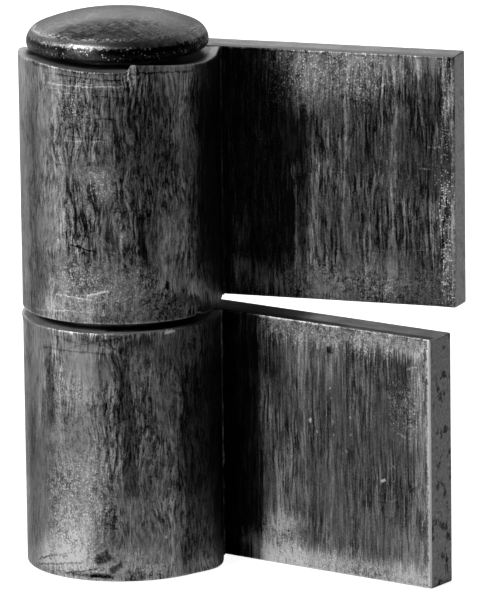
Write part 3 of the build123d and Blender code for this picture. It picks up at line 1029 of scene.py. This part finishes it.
def cropped_end(name, level, pitted):
    """The sheared end of the bar: grey, with dark pits where the metal tore."""
    material, sheet = new_steel(name)
    place = bar_place(sheet)
    grain = sheet.noise(place, 5.0, 0.65, (2.2, 1.6, 1.0))
    torn = sheet.noise(place, 4.0, 0.7, (0.55, 0.35, 1.0))
    tone = sheet.math("ADD", sheet.swing(grain, 0.6), level)
    tone = sheet.math("ADD", tone, sheet.rise(torn, 0.38, 0.46, -pitted, 0.0))
    wire_shader(sheet, tone_colour(sheet, tone), roughness=0.5, relief=(tone, 0.7, 0.20))
    return material


def forged_head(name, groups):
    """The pin's head: a grey crown with a patch of torn scale, a painted shoulder highlight, a wall with
    painted glints.
    """
    material, sheet = new_steel(name)
    place = object_place(sheet)
    underside = (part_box("hinge_pin")[1].z - bpy.context.scene.hinge_pin.head_height) / MM
    above = sheet.math("SUBTRACT", sheet.part(place, 2), underside)
    cloud = sheet.noise(place, 4.0, 0.6, (0.25, 0.25, 0.4))
    grain = sheet.noise(place, 4.0, 0.7, (1.6, 1.6, 1.6))
    fine = sheet.noise(place, 2.0, 0.6, (5.0, 5.0, 5.0))
    shift = sheet.swing(grain, 9.0)
    x, y = sheet.along_and_up(place)
    ragged = sheet.join(sheet.math("ADD", x, shift), sheet.math("ADD", y, shift))
    tone = add_marks(sheet, groups.mark, ragged, HEAD_MARKS, HEAD_TONE)

    # Scale is left in blotches where it is torn, and it is duller.
    torn = add_marks(sheet, groups.mark, ragged, HEAD_TORN, 0.0)
    blotch = sheet.noise(place, 4.0, 0.65, (0.9, 0.9, 0.9))
    scale_left = sheet.math("MULTIPLY", torn, sheet.rise(blotch, 0.40, 0.60))
    tone = sheet.math("MULTIPLY_ADD", scale_left, TORN_TONE, tone)
    sheen = sheet.math("MULTIPLY_ADD", scale_left, TORN_SHEEN, HEAD_SHEEN)
    sheet.connect(sheen, sheet.tree.nodes["Principled BSDF"].inputs["Specular Tint"])

    # The wall's foot is paler, a painted highlight rings the shoulder, and painted glints speck the
    # wall.
    shaken_height = sheet.math("ADD", above, sheet.swing(grain, 1.8))
    tone = sheet.math("ADD", tone, sheet.rise(shaken_height, 1.2, 2.2, 0.14, 0.0))
    from_shoulder = sheet.math("ABSOLUTE", sheet.math("SUBTRACT", shaken_height, SHOULDER_HEIGHT))
    shoulder = sheet.rise(from_shoulder, 0.25, 0.9, 1.0, 0.0)
    tone = sheet.math("MULTIPLY_ADD", shoulder, SHOULDER_PAINTED_HIGHLIGHT, tone)
    spots = sheet.use(groups.speckle, Place=place, Spacing=0.38, Share=0.3)
    spotted = sheet.rise(above, 2.0, 3.0, 0.55, 0.03)
    tone = sheet.math("MULTIPLY_ADD", spots, spotted, tone)
    for noise_level, amount in ((cloud, 0.4), (grain, 0.7), (fine, 0.4)):
        tone = sheet.math("ADD", tone, sheet.swing(noise_level, amount))
    roughness = bpy.context.scene.hinge_finish.crown_roughness
    wire_shader(sheet, tone_colour(sheet, tone), roughness, relief=(tone, 0.6, 0.15))
    return material


def dull_steel(name, level):
    """Turned steel with a film of oil, for the shank, the plug weld and the washer."""
    material, sheet = new_steel(name)
    rings = sheet.noise(object_place(sheet), 3.0, 0.6, (0.3, 0.3, 3.0))
    tone = sheet.rise(rings, 0.3, 0.7, level * 0.6, level * 1.3)
    colour = sheet.add("CombineColor", {"Red": tone, "Green": tone, "Blue": tone}).outputs[0]
    wire_shader(sheet, colour, roughness=0.45)
    return material


Groups = namedtuple("Groups", "bend brush mark speckle crack edge")


def shared_groups():
    """The node groups that the finishes share, made once."""
    makers = {"Bent place": bent_place_group, "Brush marks": brush_marks_group,
              "Wear mark": wear_mark_group, "Speckle": speckle_group,
              "Cracks": crack_group, "Edge wear": edge_wear_group}
    return Groups(*[bpy.data.node_groups.get(name) or make() for name, make in makers.items()])


# ---- operators ----
def fit(piece, body, node):
    """Lets a piece stand for its CAD node, and move with its body."""
    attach(piece, body)
    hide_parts(node)


# What sets one leaf apart from the other.
LeafKind = namedtuple("LeafKind", "title seed burrs knuckle flat cut_level rim_marks end_level pitted")
LOWER_KIND = LeafKind("Lower", 5.0, LOWER_BURRS, LOWER_KNUCKLE, LOWER_FLAT,
                      cut_level=0.68, rim_marks=LOWER_RIM_MARKS, end_level=0.62, pitted=0.34)
UPPER_KIND = LeafKind("Upper", 50.0, UPPER_BURRS, UPPER_KNUCKLE, UPPER_FLAT,
                      cut_level=0.46, rim_marks=UPPER_RIM_MARKS, end_level=0.73, pitted=0.12)


def finished_leaf(node, straight_end, kind):
    """One leaf with its knuckle, rolled and given its finishes."""
    groups = shared_groups()
    roll = roll_sizes(node, straight_end, bpy.context.scene.hinge_leaf)
    finishes = (
        brushed_plate(kind.title + " knuckle brushed", groups, kind.knuckle, roll),
        brushed_plate(kind.title + " leaf brushed", groups, kind.flat, roll),
        cut_edge(kind.title + " leaf cut edge", groups, kind.cut_level, kind.rim_marks),
        cropped_end(kind.title + " leaf cropped end", kind.end_level, kind.pitted))
    return rolled_leaf(node, roll, kind.seed, kind.burrs, finishes)


class HINGE_OT_leaves(bpy.types.Operator):
    """Roll the two leaves, each with its knuckle, from brushed black bar"""
    bl_idname = "hinge.leaves"
    bl_label = "Roll Leaves"

    def execute(self, context):
        leaf = context.scene.hinge_leaf
        lower = finished_leaf("lower_leaf", leaf.lower_straight_end, LOWER_KIND)
        upper = finished_leaf("upper_leaf", leaf.upper_straight_end, UPPER_KIND)
        fit(lower, "fixed_leaf", "lower_leaf")
        fit(upper, "swinging_leaf", "upper_leaf")
        return {"FINISHED"}


class HINGE_OT_pin(bpy.types.Operator):
    """Forge the headed pin, plug welded at its foot"""
    bl_idname = "hinge.pin"
    bl_label = "Forge Pin"

    def execute(self, context):
        groups = shared_groups()
        finishes = (forged_head("Forged head", groups), dull_steel("Oiled shank", SHANK_LEVEL))
        fit(forged_pin(finishes), "fixed_leaf", "hinge_pin")
        return {"FINISHED"}


class HINGE_OT_washer(bpy.types.Operator):
    """Turn the washer that carries the upper knuckle"""
    bl_idname = "hinge.washer"
    bl_label = "Turn Washer"

    def execute(self, context):
        finish = dull_steel("Oiled washer", WASHER_LEVEL)
        fit(turned_washer((finish,)), "fixed_leaf", "thrust_washer")
        return {"FINISHED"}


# ---- stage ----
FLOOR_SIDES = 96


def from_azimuth(azimuth, distance, height):
    """A point round the pin's axis; azimuth 0 is on the -Y side."""
    return Vector((distance * sin(azimuth), -distance * cos(azimuth), height))


def aim(thing, target):
    """Turns a lamp or camera, which looks along its own -Z, towards a point."""
    thing.rotation_euler = (target - thing.location).to_track_quat("-Z", "Y").to_euler()


def add_lamp(name, azimuth, elevation, distance, width, length, power):
    """A soft rectangular lamp that looks at the hinge."""
    lamp = bpy.data.lights.new(name, "AREA")
    lamp.shape = "RECTANGLE"
    lamp.size = width
    lamp.size_y = length
    lamp.energy = power
    thing = bpy.data.objects.new(name, lamp)
    target = Vector((0, 0, bpy.context.scene.hinge_stage.lamp_aim))
    thing.location = from_azimuth(azimuth, distance * cos(elevation), distance * sin(elevation)) + target
    aim(thing, target)
    bpy.context.scene.collection.objects.link(thing)


def add_camera(stage):
    """The camera, aimed a little right of the pin, and rolled a touch."""
    camera = bpy.data.objects.new("Camera", bpy.data.cameras.new("Camera"))
    camera.data.lens = stage.lens
    camera.data.clip_start = 0.05
    camera.data.clip_end = 10
    camera.location = from_azimuth(stage.camera_azimuth, stage.camera_distance, stage.camera_height)
    right = Vector((cos(stage.camera_azimuth), sin(stage.camera_azimuth), 0))
    target = right * stage.aim_aside + Vector((0, 0, stage.aim_height))
    look = (target - camera.location).to_track_quat("-Z", "Y")
    camera.rotation_euler = (look.to_matrix() @ Matrix.Rotation(stage.camera_roll, 3, "Z")).to_euler()
    bpy.context.scene.collection.objects.link(camera)
    bpy.context.scene.camera = camera


def add_floor(stage):
    """A plain pale disc that the hinge stands on, and that fades to white for the camera."""
    bm = bmesh.new()
    bmesh.ops.create_circle(bm, cap_ends=True, radius=stage.floor_radius, segments=FLOOR_SIDES)
    bmesh.ops.translate(bm, vec=(0, 0, -stage.floor_drop), verts=bm.verts)
    material = bpy.data.materials.new("Pale floor")
    material.use_nodes = True
    sheet = NodeSheet(material.node_tree)
    shader = material.node_tree.nodes["Principled BSDF"]
    shader.inputs["Base Color"].default_value = (*stage.floor_colour, 1)
    shader.inputs["Roughness"].default_value = 0.9
    shader.inputs["Specular IOR Level"].default_value = 0.0
    seen = sheet.add("LightPath").outputs["Is Camera Ray"]
    sheet.connect(sheet.math("MULTIPLY", seen, stage.floor_glow), shader.inputs["Emission Strength"])
    shader.inputs["Emission Color"].default_value = (1, 1, 1, 1)
    floor = finished_piece("floor", bm, (material,))


def light_world(stage):
    """White where the camera looks, pale behind the hinge for reflections, and dim in front."""
    world = bpy.data.worlds.new("Studio")
    bpy.context.scene.world = world
    world.use_nodes = True
    sheet = NodeSheet(world.node_tree)
    paths = sheet.add("LightPath").outputs
    direction = sheet.add("TexCoord").outputs["Generated"]
    away = from_azimuth(stage.camera_azimuth, -1.0, 0.0)
    facing = sheet.facing(direction, away)
    mirrored = sheet.rise(facing, -0.3, 0.7, stage.room_light, stage.room_behind)
    strength = sheet.mix(paths["Is Glossy Ray"], stage.room_light, mirrored)
    strength = sheet.mix(paths["Is Camera Ray"], strength, 1.0)
    background = world.node_tree.nodes["Background"]
    background.inputs["Color"].default_value = (1, 1, 1, 1)
    sheet.connect(strength, background.inputs["Strength"])


class HINGE_OT_stage(bpy.types.Operator):
    """Set up the camera, the lamps, the floor and the room"""
    bl_idname = "hinge.stage"
    bl_label = "Set Stage"

    def execute(self, context):
        stage = context.scene.hinge_stage
        context.scene.view_settings.view_transform = "Standard"
        add_camera(stage)
        add_lamp("Key lamp", stage.key_azimuth, stage.key_elevation, stage.key_distance,
                 stage.key_width, stage.key_length, stage.key_power)
        add_lamp("Back lamp", stage.back_azimuth, stage.back_elevation, stage.back_distance,
                 stage.back_width, stage.back_width, stage.back_power)
        add_floor(stage)
        light_world(stage)
        return {"FINISHED"}


class HINGE_PT_panel(bpy.types.Panel):
    """Lists the steps and the settings"""
    bl_idname = "HINGE_PT_panel"
    bl_label = "Weld On Barrel Hinge"
    bl_space_type = "VIEW_3D"
    bl_region_type = "UI"
    bl_category = "Hinge"

    def draw(self, context):
        for operator in STEPS:
            self.layout.operator(operator.bl_idname)
        for name, settings in SETTINGS.items():
            box = self.layout.box()
            for field in settings.__annotations__:
                box.prop(getattr(context.scene, name), field)


SETTINGS = {
    "hinge_leaf": LeafSettings,
    "hinge_pin": PinSettings,
    "hinge_finish": FinishSettings,
    "hinge_stage": StageSettings,
}
STEPS = (HINGE_OT_leaves, HINGE_OT_pin, HINGE_OT_washer, HINGE_OT_stage)
CLASSES = (*SETTINGS.values(), *STEPS, HINGE_PT_panel)


def register():
    for item in CLASSES:
        bpy.utils.register_class(item)
    for name, settings in SETTINGS.items():
        setattr(bpy.types.Scene, name, PointerProperty(type=settings))


def unregister():
    for name in SETTINGS:
        delattr(bpy.types.Scene, name)
    for item in reversed(CLASSES):
        bpy.utils.unregister_class(item)


def main():
    register()
    bpy.ops.hinge.leaves()
    bpy.ops.hinge.pin()
    bpy.ops.hinge.washer()
    bpy.ops.hinge.stage()


if __name__ == "__main__":
    main()
